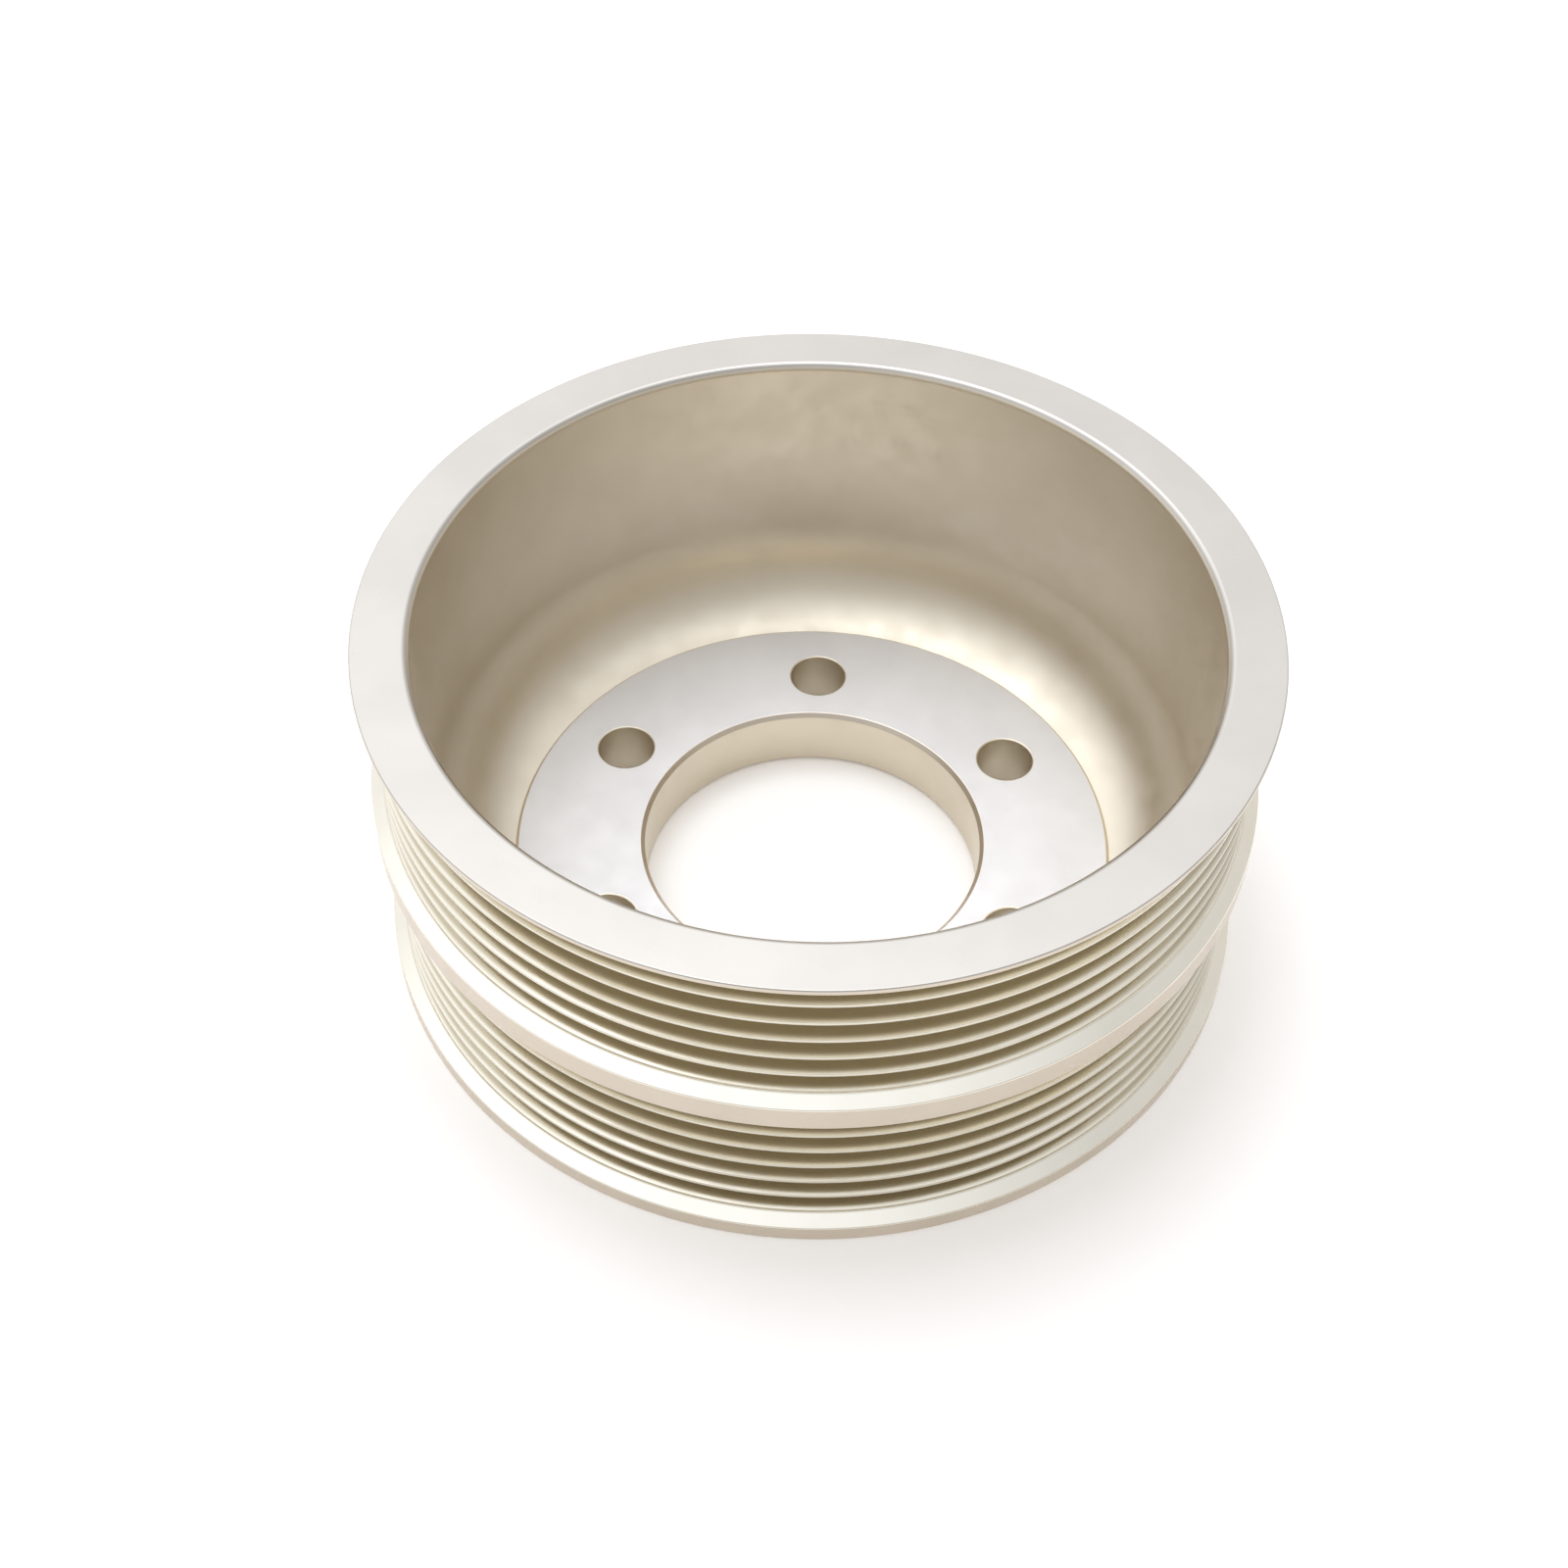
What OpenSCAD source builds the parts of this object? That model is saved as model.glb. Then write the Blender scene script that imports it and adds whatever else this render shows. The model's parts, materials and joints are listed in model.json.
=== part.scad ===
// Twin-track multi-rib crank pulley: a deep cup turned from one aluminium billet.
// Origin: centre of the pilot bore on the rear mounting face. +Z: along the axis,
// towards the open end of the cup. All sizes are in millimetres.

/* [Body] */
// Outside radius of the three belt flanges
flange_r = 63; // [62:0.5:80]
// Overall length, from the rear face to the rim of the cup
body_h = 55.2; // [54:0.1:70]
// Edge width of the flange round the mouth of the cup
rim_w = 0.8; // [0.6:0.1:3]
// Edge width of the flange between the two belt tracks
mid_flange_w = 3.9; // [2:0.1:4.5]

/* [Belt tracks] */
// Distance between neighbouring grooves (multi-rib belt profile)
groove_pitch = 3.56; // [3.56:0.01:3.6]
// Number of V grooves in each track, one for each rib of the belt
groove_count = 6; // [4:1:6]
// Depth of the crests between the grooves, below the outside radius of the flanges
crest_drop = 2; // [1:0.1:2.3]
// Width of the land on each crest
crest_w = 0.44; // [0.3:0.02:0.6]
// Angle of each groove flank from the plane square to the axis
flank_angle = 20; // [18:0.5:22]
// Angle of the flange walls beside the grooves, from the same plane
wall_angle = 28; // [20:1:32]
// Radius at the root of each groove
root_r = 0.4; // [0.3:0.05:0.5]

/* [Cup] */
// Inside radius of the cup
cup_r = 55; // [54.5:0.1:56]
// Radius of the cove between the cup wall and its floor
cove_r = 14.5; // [9:0.5:16]
// Thickness of the web that carries the bolts
web_t = 10.2; // [8:0.1:14]
// Outside radius of the raised bolt pad
pad_r = 44; // [40:0.1:46]
// Height of the bolt pad above the cove where the two meet
pad_step = 0.9; // [0.4:0.1:2]

/* [Mounting] */
// Radius of the pilot bore
bore_r = 25; // [20:0.5:28]
// Number of bolt holes
bolt_count = 6; // [3:1:8]
// Diameter of the bolt circle
bolt_circle_d = 67.5; // [66:0.5:72]
// Angle from +X to the first bolt hole
first_bolt_angle = 90; // [0:5:90]
// Radius of each bolt hole (clearance for an M8 bolt)
bolt_hole_r = 4.2; // [3.3:0.1:5.2]

/* [Edges] */
// Broken edge on the flanges and on the rear face
edge_break = 0.2; // [0.1:0.05:0.3]
// Chamfer round the mouth of the cup
mouth_chamfer = 0.75; // [0.3:0.05:1]
// Chamfer at both ends of the pilot bore
bore_chamfer = 0.6; // [0.2:0.1:1]

/* [Hidden] */
$fn = 180;

over = 1; // how far a cutting shape runs past the surface it cuts
crest_r = flange_r - crest_drop;

// Widths of a groove and of the whole track at the crest radius, and of the track at
// the outside radius. A narrow land parts each end groove from the flange wall.
groove_w = groove_pitch - crest_w;
floor_w = groove_count * groove_pitch + crest_w;
track_w = floor_w + 2 * crest_drop * tan(wall_angle);

upper_track_z = body_h - rim_w - track_w / 2;
lower_track_z = upper_track_z - track_w - mid_flange_w;

// The cove is tangent to the cup wall and ends at the foot of the bolt pad.
cove_centre_r = cup_r - cove_r;
cove_centre_z = web_t - pad_step + sqrt(cove_r ^ 2 - (pad_r - cove_centre_r) ^ 2);

// A V groove cut inwards from the crest radius, with a round root that is
// tangent to both flanks. The profile plane has the radius along x.
module groove() {
  apex_r = crest_r - groove_w / 2 / tan(flank_angle);
  root_centre_r = apex_r + root_r / sin(flank_angle);
  tangent_r = root_centre_r - root_r * sin(flank_angle);
  tangent_half_w = root_r * cos(flank_angle);
  polygon([
    [tangent_r, -tangent_half_w],
    [crest_r, -groove_w / 2],
    [crest_r + crest_drop / 2, -groove_w / 2],
    [crest_r + crest_drop / 2, groove_w / 2],
    [crest_r, groove_w / 2],
    [tangent_r, tangent_half_w]
  ]);
  translate([root_centre_r, 0]) circle(r = root_r, $fn = 48);
}

// The ring above the crests, between two sloping flange walls with broken edges.
module track_clearance() {
  break_r = flange_r - edge_break;
  break_half_w = track_w / 2 - edge_break * tan(wall_angle);
  flare = edge_break + over;
  polygon([
    [crest_r, -floor_w / 2],
    [break_r, -break_half_w],
    [flange_r + over, -break_half_w - flare],
    [flange_r + over, break_half_w + flare],
    [break_r, break_half_w],
    [crest_r, floor_w / 2]
  ]);
}

module belt_track() {
  track_clearance();
  for (i = [0 : groove_count - 1])
    translate([0, (i - (groove_count - 1) / 2) * groove_pitch]) groove();
}

// The hollow: the space over the bolt pad, the cove round it, then the straight wall.
module cup_hollow() {
  depth = body_h + over;
  translate([0, web_t]) square([pad_r, depth - web_t]);
  translate([pad_r, cove_centre_z]) square([cup_r - pad_r, depth - cove_centre_z]);
  intersection() {
    translate([cove_centre_r, cove_centre_z]) circle(r = cove_r);
    translate([pad_r, 0]) square([cup_r - pad_r, cove_centre_z]);
  }
}

// A 45 degree corner cut. side_r is +1 where metal lies inside the radius and
// -1 where it lies outside; side_z is +1 at a top edge and -1 at a bottom edge.
module corner_cut(r, z, size, side_r, side_z) {
  translate([r, z]) scale([side_r, side_z])
    polygon([
      [-size - over, over],
      [over, over],
      [over, -size - over]
    ]);
}

module body_section() {
  difference() {
    translate([bore_r, 0]) square([flange_r - bore_r, body_h]);
    cup_hollow();
    translate([0, upper_track_z]) belt_track();
    translate([0, lower_track_z]) belt_track();
    corner_cut(flange_r, body_h, edge_break, 1, 1);
    corner_cut(flange_r, 0, edge_break, 1, -1);
    corner_cut(cup_r, body_h, mouth_chamfer, -1, 1);
    corner_cut(bore_r, web_t, bore_chamfer, -1, 1);
    corner_cut(bore_r, 0, bore_chamfer, -1, -1);
  }
}

module bolt_holes() {
  for (i = [0 : bolt_count - 1])
    rotate(first_bolt_angle + i * 360 / bolt_count)
      translate([bolt_circle_d / 2, 0, -over])
        cylinder(r = bolt_hole_r, h = web_t + 2 * over, $fn = 64);
}

module pulley_body() {
  color([0.82, 0.80, 0.76])
    difference() {
      rotate_extrude() body_section();
      bolt_holes();
    }
}

pulley_body();
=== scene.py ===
"""Looks of the twin-track multi-rib crank pulley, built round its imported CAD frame.

The CAD solid is replaced by a finely turned mesh of the same outline, whose edges have
the small rounds of a deburred part. Everything is in metres, in the CAD frame: the
origin is on the rear mounting face and +Z runs towards the open mouth of the cup.
"""
import json
import math

import bpy
from mathutils import Matrix, Vector
from mathutils.geometry import delaunay_2d_cdt


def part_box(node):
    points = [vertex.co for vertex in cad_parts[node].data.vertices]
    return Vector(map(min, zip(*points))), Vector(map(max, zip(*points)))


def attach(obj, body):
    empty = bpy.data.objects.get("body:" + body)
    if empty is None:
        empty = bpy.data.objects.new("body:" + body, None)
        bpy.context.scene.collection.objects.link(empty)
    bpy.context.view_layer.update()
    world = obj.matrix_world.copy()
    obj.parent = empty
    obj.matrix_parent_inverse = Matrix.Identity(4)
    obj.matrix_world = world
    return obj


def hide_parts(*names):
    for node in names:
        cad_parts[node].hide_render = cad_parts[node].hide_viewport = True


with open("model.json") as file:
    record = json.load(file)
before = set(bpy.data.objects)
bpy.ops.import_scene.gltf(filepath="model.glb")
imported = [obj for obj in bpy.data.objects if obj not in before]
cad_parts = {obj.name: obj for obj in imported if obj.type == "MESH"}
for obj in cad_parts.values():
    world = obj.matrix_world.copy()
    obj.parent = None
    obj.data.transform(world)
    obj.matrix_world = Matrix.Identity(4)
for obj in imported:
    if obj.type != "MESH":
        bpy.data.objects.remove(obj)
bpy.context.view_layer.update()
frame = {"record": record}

MM = 0.001
MICRON = 1e-6


def mount(name):
    return next(m for m in frame["record"]["mounts"] if m["name"] == name)


# ---------------------------------------------------------------- driving dimensions
_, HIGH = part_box("pulley_body")
FLANGE_R = HIGH[0]
BODY_H = HIGH[2]
BORE_R = mount("pilot_bore")["dims"]["r_mm"] * MM
BOLTS = mount("bolt_holes")["dims"]
BOLT_CIRCLE_R = BOLTS["pcd_mm"] / 2 * MM
BOLT_HOLE_R = BOLTS["hole_r_mm"] * MM
BOLT_COUNT = BOLTS["count"]
WEB_T = mount("bolt_pad")["pos_m"][2]

RIM_W = 0.8 * MM
MID_FLANGE_W = 3.9 * MM
GROOVE_PITCH = 3.56 * MM
GROOVE_COUNT = 6
CREST_DROP = 2.0 * MM
CREST_W = 0.44 * MM
FLANK_ANGLE = math.radians(20)
WALL_ANGLE = math.radians(28)
ROOT_R = 0.4 * MM
CUP_R = 55.0 * MM
COVE_R = 14.5 * MM
COVE_END_SLOPE = math.radians(16)  # slope of the floor where the cove meets the pad
PAD_R = 44.0 * MM
PAD_STEP = 0.9 * MM
MOUTH_CHAMFER = 0.75 * MM
BORE_CHAMFER = 0.6 * MM

# Small rounds that deburring and tumbling leave on the edges.
FLANGE_ROUND = 0.22 * MM
CREST_ROUND = 0.08 * MM
WALL_FOOT_ROUND = 0.15 * MM
MOUTH_ROUND = 0.90 * MM
PAD_ROUND = 0.25 * MM
PAD_FOOT_ROUND = 0.35 * MM
BORE_ROUND = 0.20 * MM
HOLE_ROUND = 0.30 * MM

# Painted shade in the belt grooves: the metal is painted darker deep in a groove, fully below
# the first of these distances from the crest radius and not at all above the second.
SHADE_FULL_BELOW = -0.6 * MM
SHADE_GONE_ABOVE = 0.3 * MM

# Stretches of the outline that are flat faces with holes, and so aren't turned.
FLAT_ZONES = ("pad", "rear")

TURN_STEPS = 288
HOLE_STEPS = 48
HOLE_LIP_STEPS = 4
ARC_STEP = math.radians(12)
WELD_DECIMALS = 8

# Sizes of the marks on the metal, and how far they change its tone and its roughness.
GRAIN_SIZE = 0.35 * MM
GLOSS_PATCH = 4 * MM
TONE_PATCH = 14 * MM
STREAKS_PER_RADIAN = 5.0
HEIGHT_WEIGHT = 1.3  # how fast turning marks follow one another up a wall, against a face
TONE_SPREAD = (0.35, 0.65)
GLOSS_SPREAD = (-0.04, 0.05)

FLOOR_HALF_W = 1.5
FLOOR_COLOUR = (0.97, 0.95, 0.92, 1)
FLOOR_GLOW_COLOUR = (1.0, 0.96, 0.90, 1)
FLOOR_GLOW = 0.12

# Light of the room by direction: brightest nearly straight up, a little to the left and
# behind. Each stop is the cosine of the angle from the axis, and the light there. The
# shares then weigh the left against the right, and the back against the front.
SKY_AXIS = Vector((-0.16, 0.23, 1.0)).normalized()
SKY_STOPS = ((0.0, 0.80), (0.40, 0.80), (0.616, 0.85), (0.766, 1.30), (0.875, 1.45),
             (0.93, 1.60), (0.975, 3.00), (1.0, 4.20))
SKY_PEAK = 4.2
HORIZON_COLOUR = (1.0, 0.95, 0.87, 1)
ZENITH_COLOUR = (0.96, 0.985, 1.05, 1)
LEFT_SHARE, RIGHT_SHARE = 1.13, 0.87
BACK_SHARE, FRONT_SHARE = 1.24, 0.74
ZENITH_BLEND = 0.85

CAMERA_ELEVATION = math.radians(47.84)
CAMERA_AZIMUTH = math.radians(1.44)
CAMERA_ROLL = math.radians(0.785)
CAMERA_DISTANCE = 4.946 * FLANGE_R
CAMERA_TARGET = Vector((-0.0624, -0.2641, 0.6334)) * FLANGE_R
CAMERA_LENS, CAMERA_SENSOR = 52.92, 36.0
CAMERA_CLIP = (0.01, 20.0)


# ---------------------------------------------------------------- turned outline
CREST_R = FLANGE_R - CREST_DROP
GROOVE_W = GROOVE_PITCH - CREST_W
FLOOR_W = GROOVE_COUNT * GROOVE_PITCH + CREST_W
TRACK_W = FLOOR_W + 2 * CREST_DROP * math.tan(WALL_ANGLE)


def track_corners(z):
    """Outline of one belt track, from its rear flange to its rim-side flange."""
    apex_r = CREST_R - GROOVE_W / 2 / math.tan(FLANK_ANGLE)
    corners = [(FLANGE_R, z - TRACK_W / 2, FLANGE_ROUND, "rib"),
               (CREST_R, z - FLOOR_W / 2, WALL_FOOT_ROUND, "rib")]
    for i in range(GROOVE_COUNT):
        middle = z + (i - (GROOVE_COUNT - 1) / 2) * GROOVE_PITCH
        corners += [(CREST_R, middle - GROOVE_W / 2, CREST_ROUND, "rib"),
                    (apex_r, middle, ROOT_R, "rib"),
                    (CREST_R, middle + GROOVE_W / 2, CREST_ROUND, "rib")]
    corners += [(CREST_R, z + FLOOR_W / 2, WALL_FOOT_ROUND, "rib"),
                (FLANGE_R, z + TRACK_W / 2, FLANGE_ROUND, "edge")]
    return corners


def body_corners():
    """The whole section, anticlockwise with r to the right and z up. Each corner has
    its rounding radius and the zone of the stretch that follows it. The cove is the round
    of one corner, which lies where the lines of the wall and of the cove's end meet."""
    upper_z = BODY_H - RIM_W - TRACK_W / 2
    lower_z = upper_z - TRACK_W - MID_FLANGE_W
    pad_foot = WEB_T - PAD_STEP
    cove_corner = pad_foot + (CUP_R - PAD_R) * math.tan(COVE_END_SLOPE)
    return [
        (FLANGE_R, 0.0, FLANGE_ROUND, "edge"),
        *track_corners(lower_z),
        *track_corners(upper_z),
        (FLANGE_R, BODY_H, FLANGE_ROUND, "face"),
        (CUP_R + MOUTH_CHAMFER, BODY_H, MOUTH_ROUND, "face"),
        (CUP_R, BODY_H - MOUTH_CHAMFER, MOUTH_ROUND, "wall"),
        (CUP_R, cove_corner, COVE_R, "wall"),
        (PAD_R, pad_foot, PAD_FOOT_ROUND, "wall"),
        (PAD_R, WEB_T, PAD_ROUND, "pad"),
        (BORE_R + BORE_CHAMFER, WEB_T, BORE_ROUND, "edge"),
        (BORE_R, WEB_T - BORE_CHAMFER, BORE_ROUND, "wall"),
        (BORE_R, BORE_CHAMFER, BORE_ROUND, "edge"),
        (BORE_R + BORE_CHAMFER, 0.0, BORE_ROUND, "rear"),
    ]


def rounded(corners):
    """Points (r, z), outward normals and zones along a closed outline with its corners
    rounded. Every round is tangent to its neighbours, so normals are continuous. A flat
    zone starts only at the end of its first corner's round."""
    points = []
    for i, (r, z, radius, zone) in enumerate(corners):
        here = Vector((r, z))
        before = (Vector(corners[i - 1][:2]) - here).normalized()
        after = (Vector(corners[(i + 1) % len(corners)][:2]) - here).normalized()
        half = before.angle(after) / 2
        turn = 1 if before.x * after.y - before.y * after.x < 0 else -1
        centre = here + (before + after).normalized() * (radius / math.sin(half))
        start = here + before * (radius / math.tan(half))
        end = here + after * (radius / math.tan(half))
        a0 = math.atan2(*(start - centre).yx)
        sweep = turn * (math.pi - 2 * half)
        steps = max(2, math.ceil(abs(sweep) / ARC_STEP))
        for k in range(steps + 1):
            a = a0 + sweep * k / steps
            ray = Vector((math.cos(a), math.sin(a)))
            point = start if k == 0 else end if k == steps else centre + ray * radius
            before_flat = zone in FLAT_ZONES and k < steps
            point_zone = corners[i - 1][3] if before_flat else zone
            points.append((point.x, point.y, ray * turn, point_zone))
    return points


# ---------------------------------------------------------------- mesh
class Shell:
    """Collects welded vertices with exact normals, and faces with a material index."""

    def __init__(self):
        self.index, self.verts, self.normals, self.faces, self.slots = {}, [], [], [], []

    def vertex(self, x, y, z, normal):
        key = tuple(round(value, WELD_DECIMALS) for value in (x, y, z))
        if key not in self.index:
            self.index[key] = len(self.verts)
            self.verts.append((x, y, z))
            self.normals.append(normal)
        return self.index[key]

    def face(self, corners, slot):
        self.faces.append(corners)
        self.slots.append(slot)

    def build(self, name, materials):
        mesh = bpy.data.meshes.new(name)
        mesh.from_pydata(self.verts, [], self.faces)
        for material in materials:
            mesh.materials.append(material)
        mesh.polygons.foreach_set("material_index", self.slots)
        mesh.polygons.foreach_set("use_smooth", [True] * len(self.faces))
        mesh.normals_split_custom_set_from_vertices(self.normals)
        mesh.validate()
        piece = bpy.data.objects.new(name, mesh)
        bpy.context.scene.collection.objects.link(piece)
        return piece


def turned(shell, points, slot_of, centre=(0.0, 0.0), steps=TURN_STEPS, closed=True):
    """Turns an outline about a vertical axis. Zones missing from slot_of stay open."""
    rings = []
    for r, z, normal, _ in points:
        ring = []
        for i in range(steps):
            a = 2 * math.pi * i / steps
            c, s = math.cos(a), math.sin(a)
            place = (centre[0] + r * c, centre[1] + r * s, z)
            ring.append(shell.vertex(*place, (normal.x * c, normal.x * s, normal.y)))
        rings.append(ring)
    for k in range(len(points) if closed else len(points) - 1):
        zone = points[k][3]
        if zone not in slot_of:
            continue
        low, high = rings[k], rings[(k + 1) % len(points)]
        for i in range(steps):
            j = (i + 1) % steps
            shell.face((low[i], low[j], high[j], high[i]), slot_of[zone])


def circle_points(radius, steps, centre=(0.0, 0.0)):
    angles = [2 * math.pi * i / steps for i in range(steps)]
    return [(centre[0] + radius * math.cos(a), centre[1] + radius * math.sin(a))
            for a in angles]


def bolt_centres():
    angles = [math.pi / 2 + 2 * math.pi * i / BOLT_COUNT for i in range(BOLT_COUNT)]
    return [(BOLT_CIRCLE_R * math.cos(a), BOLT_CIRCLE_R * math.sin(a)) for a in angles]


def drilled_face(shell, z, up, inner_r, outer_r, hole_r, slot):
    """A flat ring at height z with the bolt holes left open. up is +1 or -1."""
    loops = [circle_points(inner_r, TURN_STEPS), circle_points(outer_r, TURN_STEPS)]
    loops += [circle_points(hole_r, HOLE_STEPS, c) for c in bolt_centres()]
    flat, edges = [], []
    for loop in loops:
        first = len(flat)
        flat += loop
        edges += [(first + i, first + (i + 1) % len(loop)) for i in range(len(loop))]
    triangles_only, tolerance = 0, 1e-9
    result = delaunay_2d_cdt([Vector(p) for p in flat], edges, [], triangles_only, tolerance)
    verts, faces, sources = result[0], result[2], result[3]
    index = [shell.vertex(*flat[source[0]], z, (0.0, 0.0, float(up))) for source in sources]
    for face in faces:
        middle = sum((verts[i] for i in face), Vector((0, 0))) / len(face)
        in_hole = any((middle - Vector(c)).length < hole_r for c in bolt_centres())
        if inner_r < middle.length < outer_r and not in_hole:
            a, b, c = (verts[i] for i in face[:3])
            anticlockwise = (b - a).cross(c - a) > 0
            order = face if anticlockwise == (up > 0) else face[::-1]
            shell.face(tuple(index[i] for i in order), slot)


def hole_outline():
    """Wall of one bolt hole from the pad down to the rear face, with rounded lips."""
    angles = [math.pi / 2 * k / HOLE_LIP_STEPS for k in range(HOLE_LIP_STEPS + 1)]
    upper, lower = [], []
    for a in angles:
        into, up = math.sin(a), math.cos(a)
        r = BOLT_HOLE_R + HOLE_ROUND * (1 - into)
        drop = HOLE_ROUND * (1 - up)
        upper.append((r, WEB_T - drop, Vector((-into, up)), "hole"))
        lower.append((r, drop, Vector((-into, -up)), "hole"))
    return upper + lower[::-1]


def build_pulley(finishes):
    """The visual mesh. finishes holds one material for each slot below, in that order."""
    slot_of = {"edge": 0, "rib": 1, "face": 2, "wall": 3, "flat": 4}
    hole_slot = {"hole": slot_of["wall"]}
    shell = Shell()
    outline = rounded(body_corners())
    turned(shell, outline, slot_of)
    for centre in bolt_centres():
        turned(shell, hole_outline(), hole_slot, centre, HOLE_STEPS, closed=False)
    for zone, z, up in (("pad", WEB_T, 1), ("rear", 0.0, -1)):
        k = next(i for i, p in enumerate(outline) if p[3] == zone)
        radii = sorted((outline[k][0], outline[(k + 1) % len(outline)][0]))
        drilled_face(shell, z, up, *radii, BOLT_HOLE_R + HOLE_ROUND, slot_of["flat"])
    return shell.build("turned_pulley", finishes)


# ---------------------------------------------------------------- materials
class Nodes:
    """A thin helper that adds nodes and links by name."""

    def __init__(self, tree):
        self.tree = tree

    def add(self, kind, inputs=(), **settings):
        node = self.tree.nodes.new(kind)
        for key, value in settings.items():
            setattr(node, key, value)
        for socket, value in dict(inputs).items():
            if isinstance(value, bpy.types.NodeSocket):
                self.tree.links.new(value, node.inputs[socket])
            else:
                node.inputs[socket].default_value = value
        return node

    def math(self, operation, a, b=0.0):
        return self.add("ShaderNodeMath", {0: a, 1: b}, operation=operation).outputs[0]

    def mix(self, factor, low, high):
        node = self.add("ShaderNodeMix", {"Factor": factor}, data_type="RGBA")
        for socket, value in ((node.inputs[6], low), (node.inputs[7], high)):
            if isinstance(value, bpy.types.NodeSocket):
                self.tree.links.new(value, socket)
            else:
                socket.default_value = value
        return node.outputs[2]

    def remap(self, value, low, high, from_low=0.0, from_high=1.0):
        names = ("From Min", "From Max", "To Min", "To Max")
        node = self.add("ShaderNodeMapRange",
                        {"Value": value, **dict(zip(names, (from_low, from_high, low, high)))})
        return node.outputs["Result"]

    def noise(self, vector, scale, detail=2.0, roughness=0.5):
        node = self.add("ShaderNodeTexNoise", {
            "Vector": vector, "Scale": scale, "Detail": detail, "Roughness": roughness})
        return node.outputs["Fac"]


def aluminium(name, tones, roughness, feed_pitch, feed_depth, grain_depth, painted_shade=None):
    """Clear-anodised aluminium: turning marks round the axis, a fine blasted grain, and
    slow changes of tone and gloss. tones is the pair of colours it drifts between, and the
    last argument is the colour of the shade painted deep in the belt grooves."""
    material = bpy.data.materials.new(name)
    material.use_nodes = True
    material.node_tree.nodes.clear()
    n = Nodes(material.node_tree)
    place = n.add("ShaderNodeTexCoord").outputs["Object"]
    x, y, z = n.add("ShaderNodeSeparateXYZ", {0: place}).outputs
    radius = n.math("SQRT", n.math("ADD", n.math("MULTIPLY", x, x), n.math("MULTIPLY", y, y)))
    travel = n.math("ADD", radius, n.math("MULTIPLY", z, HEIGHT_WEIGHT))
    along = n.math("DIVIDE", travel, feed_pitch)
    turn_x = n.math("MULTIPLY", n.math("DIVIDE", x, radius), STREAKS_PER_RADIAN)
    turn_y = n.math("MULTIPLY", n.math("DIVIDE", y, radius), STREAKS_PER_RADIAN)
    around = n.add("ShaderNodeCombineXYZ", {0: along, 1: turn_x, 2: turn_y}).outputs[0]
    feed = n.noise(around, 1.0, detail=3.0, roughness=0.6)
    grain = n.noise(place, 1 / GRAIN_SIZE, detail=2.0)
    cloud = n.noise(place, 1 / TONE_PATCH, detail=3.0)
    gloss = n.noise(place, 1 / GLOSS_PATCH, detail=4.0)
    feed_bump = n.add("ShaderNodeBump", {
        "Height": feed, "Distance": feed_depth, "Strength": 1.0})
    grain_bump = n.add("ShaderNodeBump", {
        "Height": grain, "Distance": grain_depth, "Strength": 1.0,
        "Normal": feed_bump.outputs[0]})
    colour = n.mix(n.remap(cloud, 0, 1, *TONE_SPREAD), *tones)
    # Painted shade: the colour darkens towards the shade colour deeper in the belt grooves.
    if painted_shade:
        unshaded_share = n.remap(radius, 0.0, 1.0, CREST_R + SHADE_FULL_BELOW, CREST_R + SHADE_GONE_ABOVE)
        colour = n.mix(unshaded_share, painted_shade, colour)
    shader = n.add("ShaderNodeBsdfPrincipled", {
        "Base Color": colour,
        "Metallic": 1.0,
        "Roughness": n.remap(gloss, *(roughness + d for d in GLOSS_SPREAD), 0.3, 0.7),
        "Normal": grain_bump.outputs[0],
    })
    n.add("ShaderNodeOutputMaterial", {"Surface": shader.outputs[0]})
    return material


def pale_floor():
    """A plain matt table that gives off a little light of its own."""
    material = bpy.data.materials.new("pale_floor")
    material.use_nodes = True
    shader = material.node_tree.nodes["Principled BSDF"]
    shader.inputs["Base Color"].default_value = FLOOR_COLOUR
    shader.inputs["Emission Color"].default_value = FLOOR_GLOW_COLOUR
    shader.inputs["Emission Strength"].default_value = FLOOR_GLOW
    shader.inputs["Roughness"].default_value = 0.9
    shader.inputs["Specular IOR Level"].default_value = 0.1
    return material


# ---------------------------------------------------------------- studio
def make_floor():
    half = FLOOR_HALF_W
    mesh = bpy.data.meshes.new("floor")
    mesh.from_pydata([(-half, -half, 0), (half, -half, 0), (half, half, 0), (-half, half, 0)],
                     [], [(0, 1, 2, 3)])
    mesh.materials.append(pale_floor())
    floor = bpy.data.objects.new("floor", mesh)
    bpy.context.scene.collection.objects.link(floor)


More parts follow.
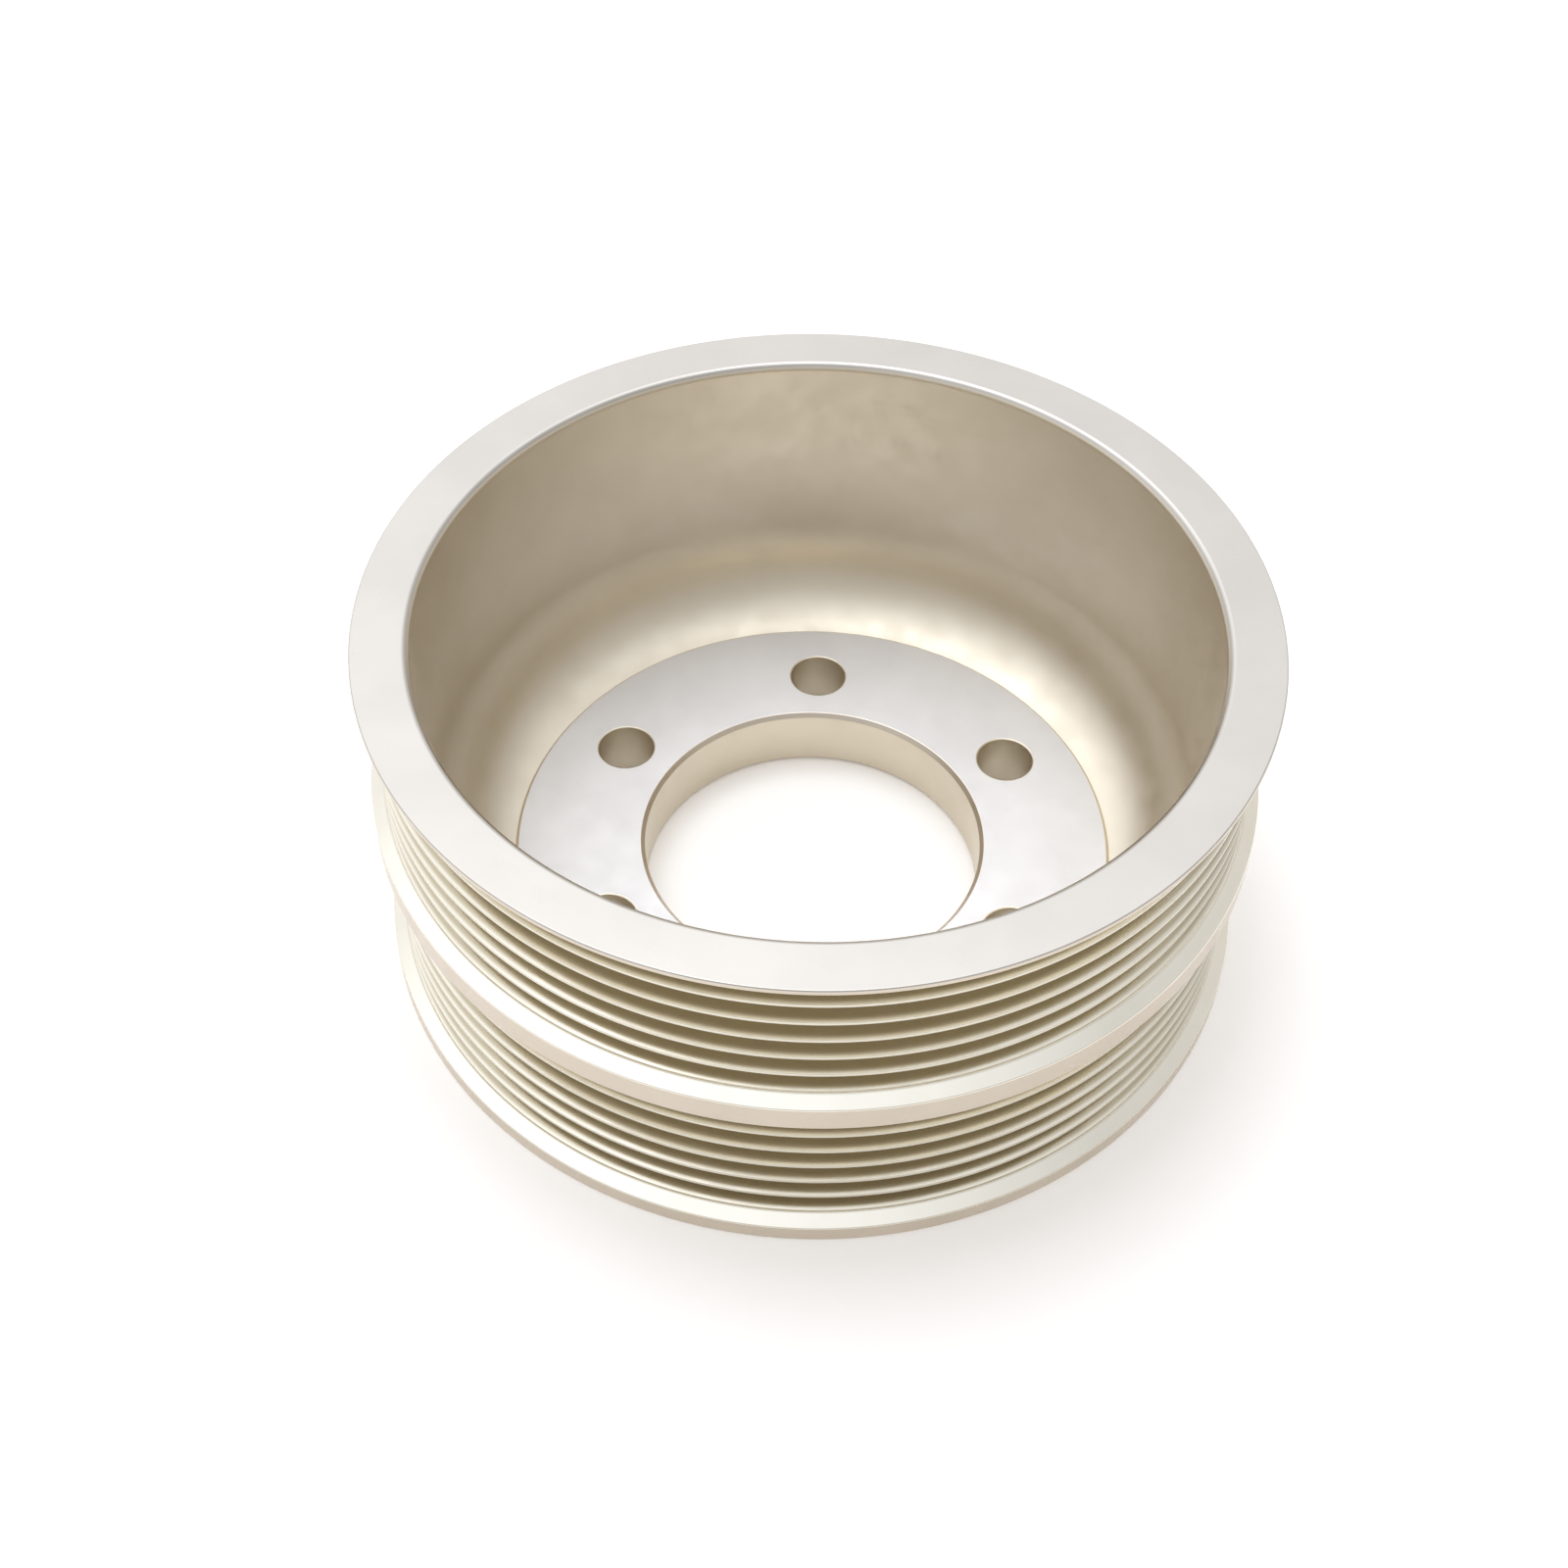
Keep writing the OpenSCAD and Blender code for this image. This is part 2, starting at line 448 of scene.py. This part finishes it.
def make_world():
    """A plain studio room: brightest overhead, warmer and dimmer towards the horizon,
    and brighter on the left and at the back than on the right and at the front."""
    world = bpy.data.worlds.new("studio")
    bpy.context.scene.world = world
    world.use_nodes = True
    world.node_tree.nodes.clear()
    n = Nodes(world.node_tree)
    ray = n.add("ShaderNodeTexCoord").outputs["Generated"]
    side, depth, _ = n.add("ShaderNodeSeparateXYZ", {0: ray}).outputs
    towards_axis = n.add("ShaderNodeVectorMath", {0: ray, 1: SKY_AXIS},
                         operation="DOT_PRODUCT").outputs["Value"]
    ramp = n.add("ShaderNodeValToRGB", {"Fac": towards_axis})
    stops = ramp.color_ramp.elements
    while len(stops) < len(SKY_STOPS):
        stops.new(1.0)
    for stop, (position, light) in zip(stops, SKY_STOPS):
        stop.position = position
        stop.color = (*[light / SKY_PEAK] * 3, 1)
    share = n.math("MULTIPLY", n.remap(side, LEFT_SHARE, RIGHT_SHARE, -1.0, 1.0),
                   n.remap(depth, FRONT_SHARE * SKY_PEAK, BACK_SHARE * SKY_PEAK, -1.0, 1.0))
    height = n.remap(towards_axis, 0.0, 1.0, 0.0, ZENITH_BLEND)
    colour = n.mix(height, HORIZON_COLOUR, ZENITH_COLOUR)
    background = n.add("ShaderNodeBackground", {
        "Color": colour, "Strength": n.math("MULTIPLY", ramp.outputs[0], share)})
    n.add("ShaderNodeOutputWorld", {"Surface": background.outputs[0]})


def make_camera():
    """The photograph's viewpoint: above and in front, with no lens shift."""
    data = bpy.data.cameras.new("camera")
    data.sensor_width = CAMERA_SENSOR
    data.lens = CAMERA_LENS
    data.clip_start, data.clip_end = CAMERA_CLIP
    camera = bpy.data.objects.new("camera", data)
    turn = Matrix.Rotation(CAMERA_AZIMUTH, 3, "Z")
    turn = turn @ Matrix.Rotation(math.pi / 2 - CAMERA_ELEVATION, 3, "X")
    turn = turn @ Matrix.Rotation(CAMERA_ROLL, 3, "Z")
    back = turn @ Vector((0, 0, 1))
    camera.matrix_world = turn.to_4x4()
    camera.location = CAMERA_TARGET + back * CAMERA_DISTANCE
    bpy.context.scene.collection.objects.link(camera)
    bpy.context.scene.camera = camera


def make_studio():
    make_floor()
    make_world()
    scene = bpy.context.scene
    scene.view_settings.view_transform = "Standard"
    scene.view_settings.look = "None"
    scene.cycles.glossy_bounces = 8
    scene.cycles.max_bounces = 12


# ---------------------------------------------------------------- scene
METAL = ((0.620, 0.550, 0.460, 1), (0.650, 0.580, 0.490, 1))
GROOVE_METAL = ((0.850, 0.815, 0.715, 1), (0.880, 0.845, 0.745, 1))
# Colour of the shade painted deep in the belt grooves.
PAINTED_GROOVE_SHADE = (0.395, 0.345, 0.245, 1)
FACE_METAL = ((0.505, 0.476, 0.430, 1), (0.530, 0.501, 0.455, 1))
CUP_METAL = ((0.680, 0.615, 0.500, 1), (0.710, 0.645, 0.530, 1))
PAD_METAL = ((0.800, 0.785, 0.765, 1), (0.830, 0.815, 0.795, 1))
edge_finish = aluminium("turned_edges", METAL, roughness=0.30, feed_pitch=0.11 * MM,
                        feed_depth=0.4 * MICRON, grain_depth=1.0 * MICRON)
# The rib finish carries the painted shade in its belt grooves.
groove_finish = aluminium("turned_grooves", GROOVE_METAL, roughness=0.16, feed_pitch=0.11 * MM,
                          feed_depth=0.3 * MICRON, grain_depth=0.4 * MICRON,
                          painted_shade=PAINTED_GROOVE_SHADE)
face_finish = aluminium("satin_face", FACE_METAL, roughness=0.30, feed_pitch=0.16 * MM,
                        feed_depth=0.3 * MICRON, grain_depth=0.4 * MICRON)
cup_finish = aluminium("satin_cup", CUP_METAL, roughness=0.40, feed_pitch=0.16 * MM,
                       feed_depth=0.03 * MICRON, grain_depth=0.6 * MICRON)
pad_finish = aluminium("satin_pad", PAD_METAL, roughness=0.66, feed_pitch=0.16 * MM,
                       feed_depth=0.2 * MICRON, grain_depth=1.2 * MICRON)
pulley = build_pulley([edge_finish, groove_finish, face_finish, cup_finish, pad_finish])
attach(pulley, "root")
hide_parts("pulley_body")
make_studio()
make_camera()
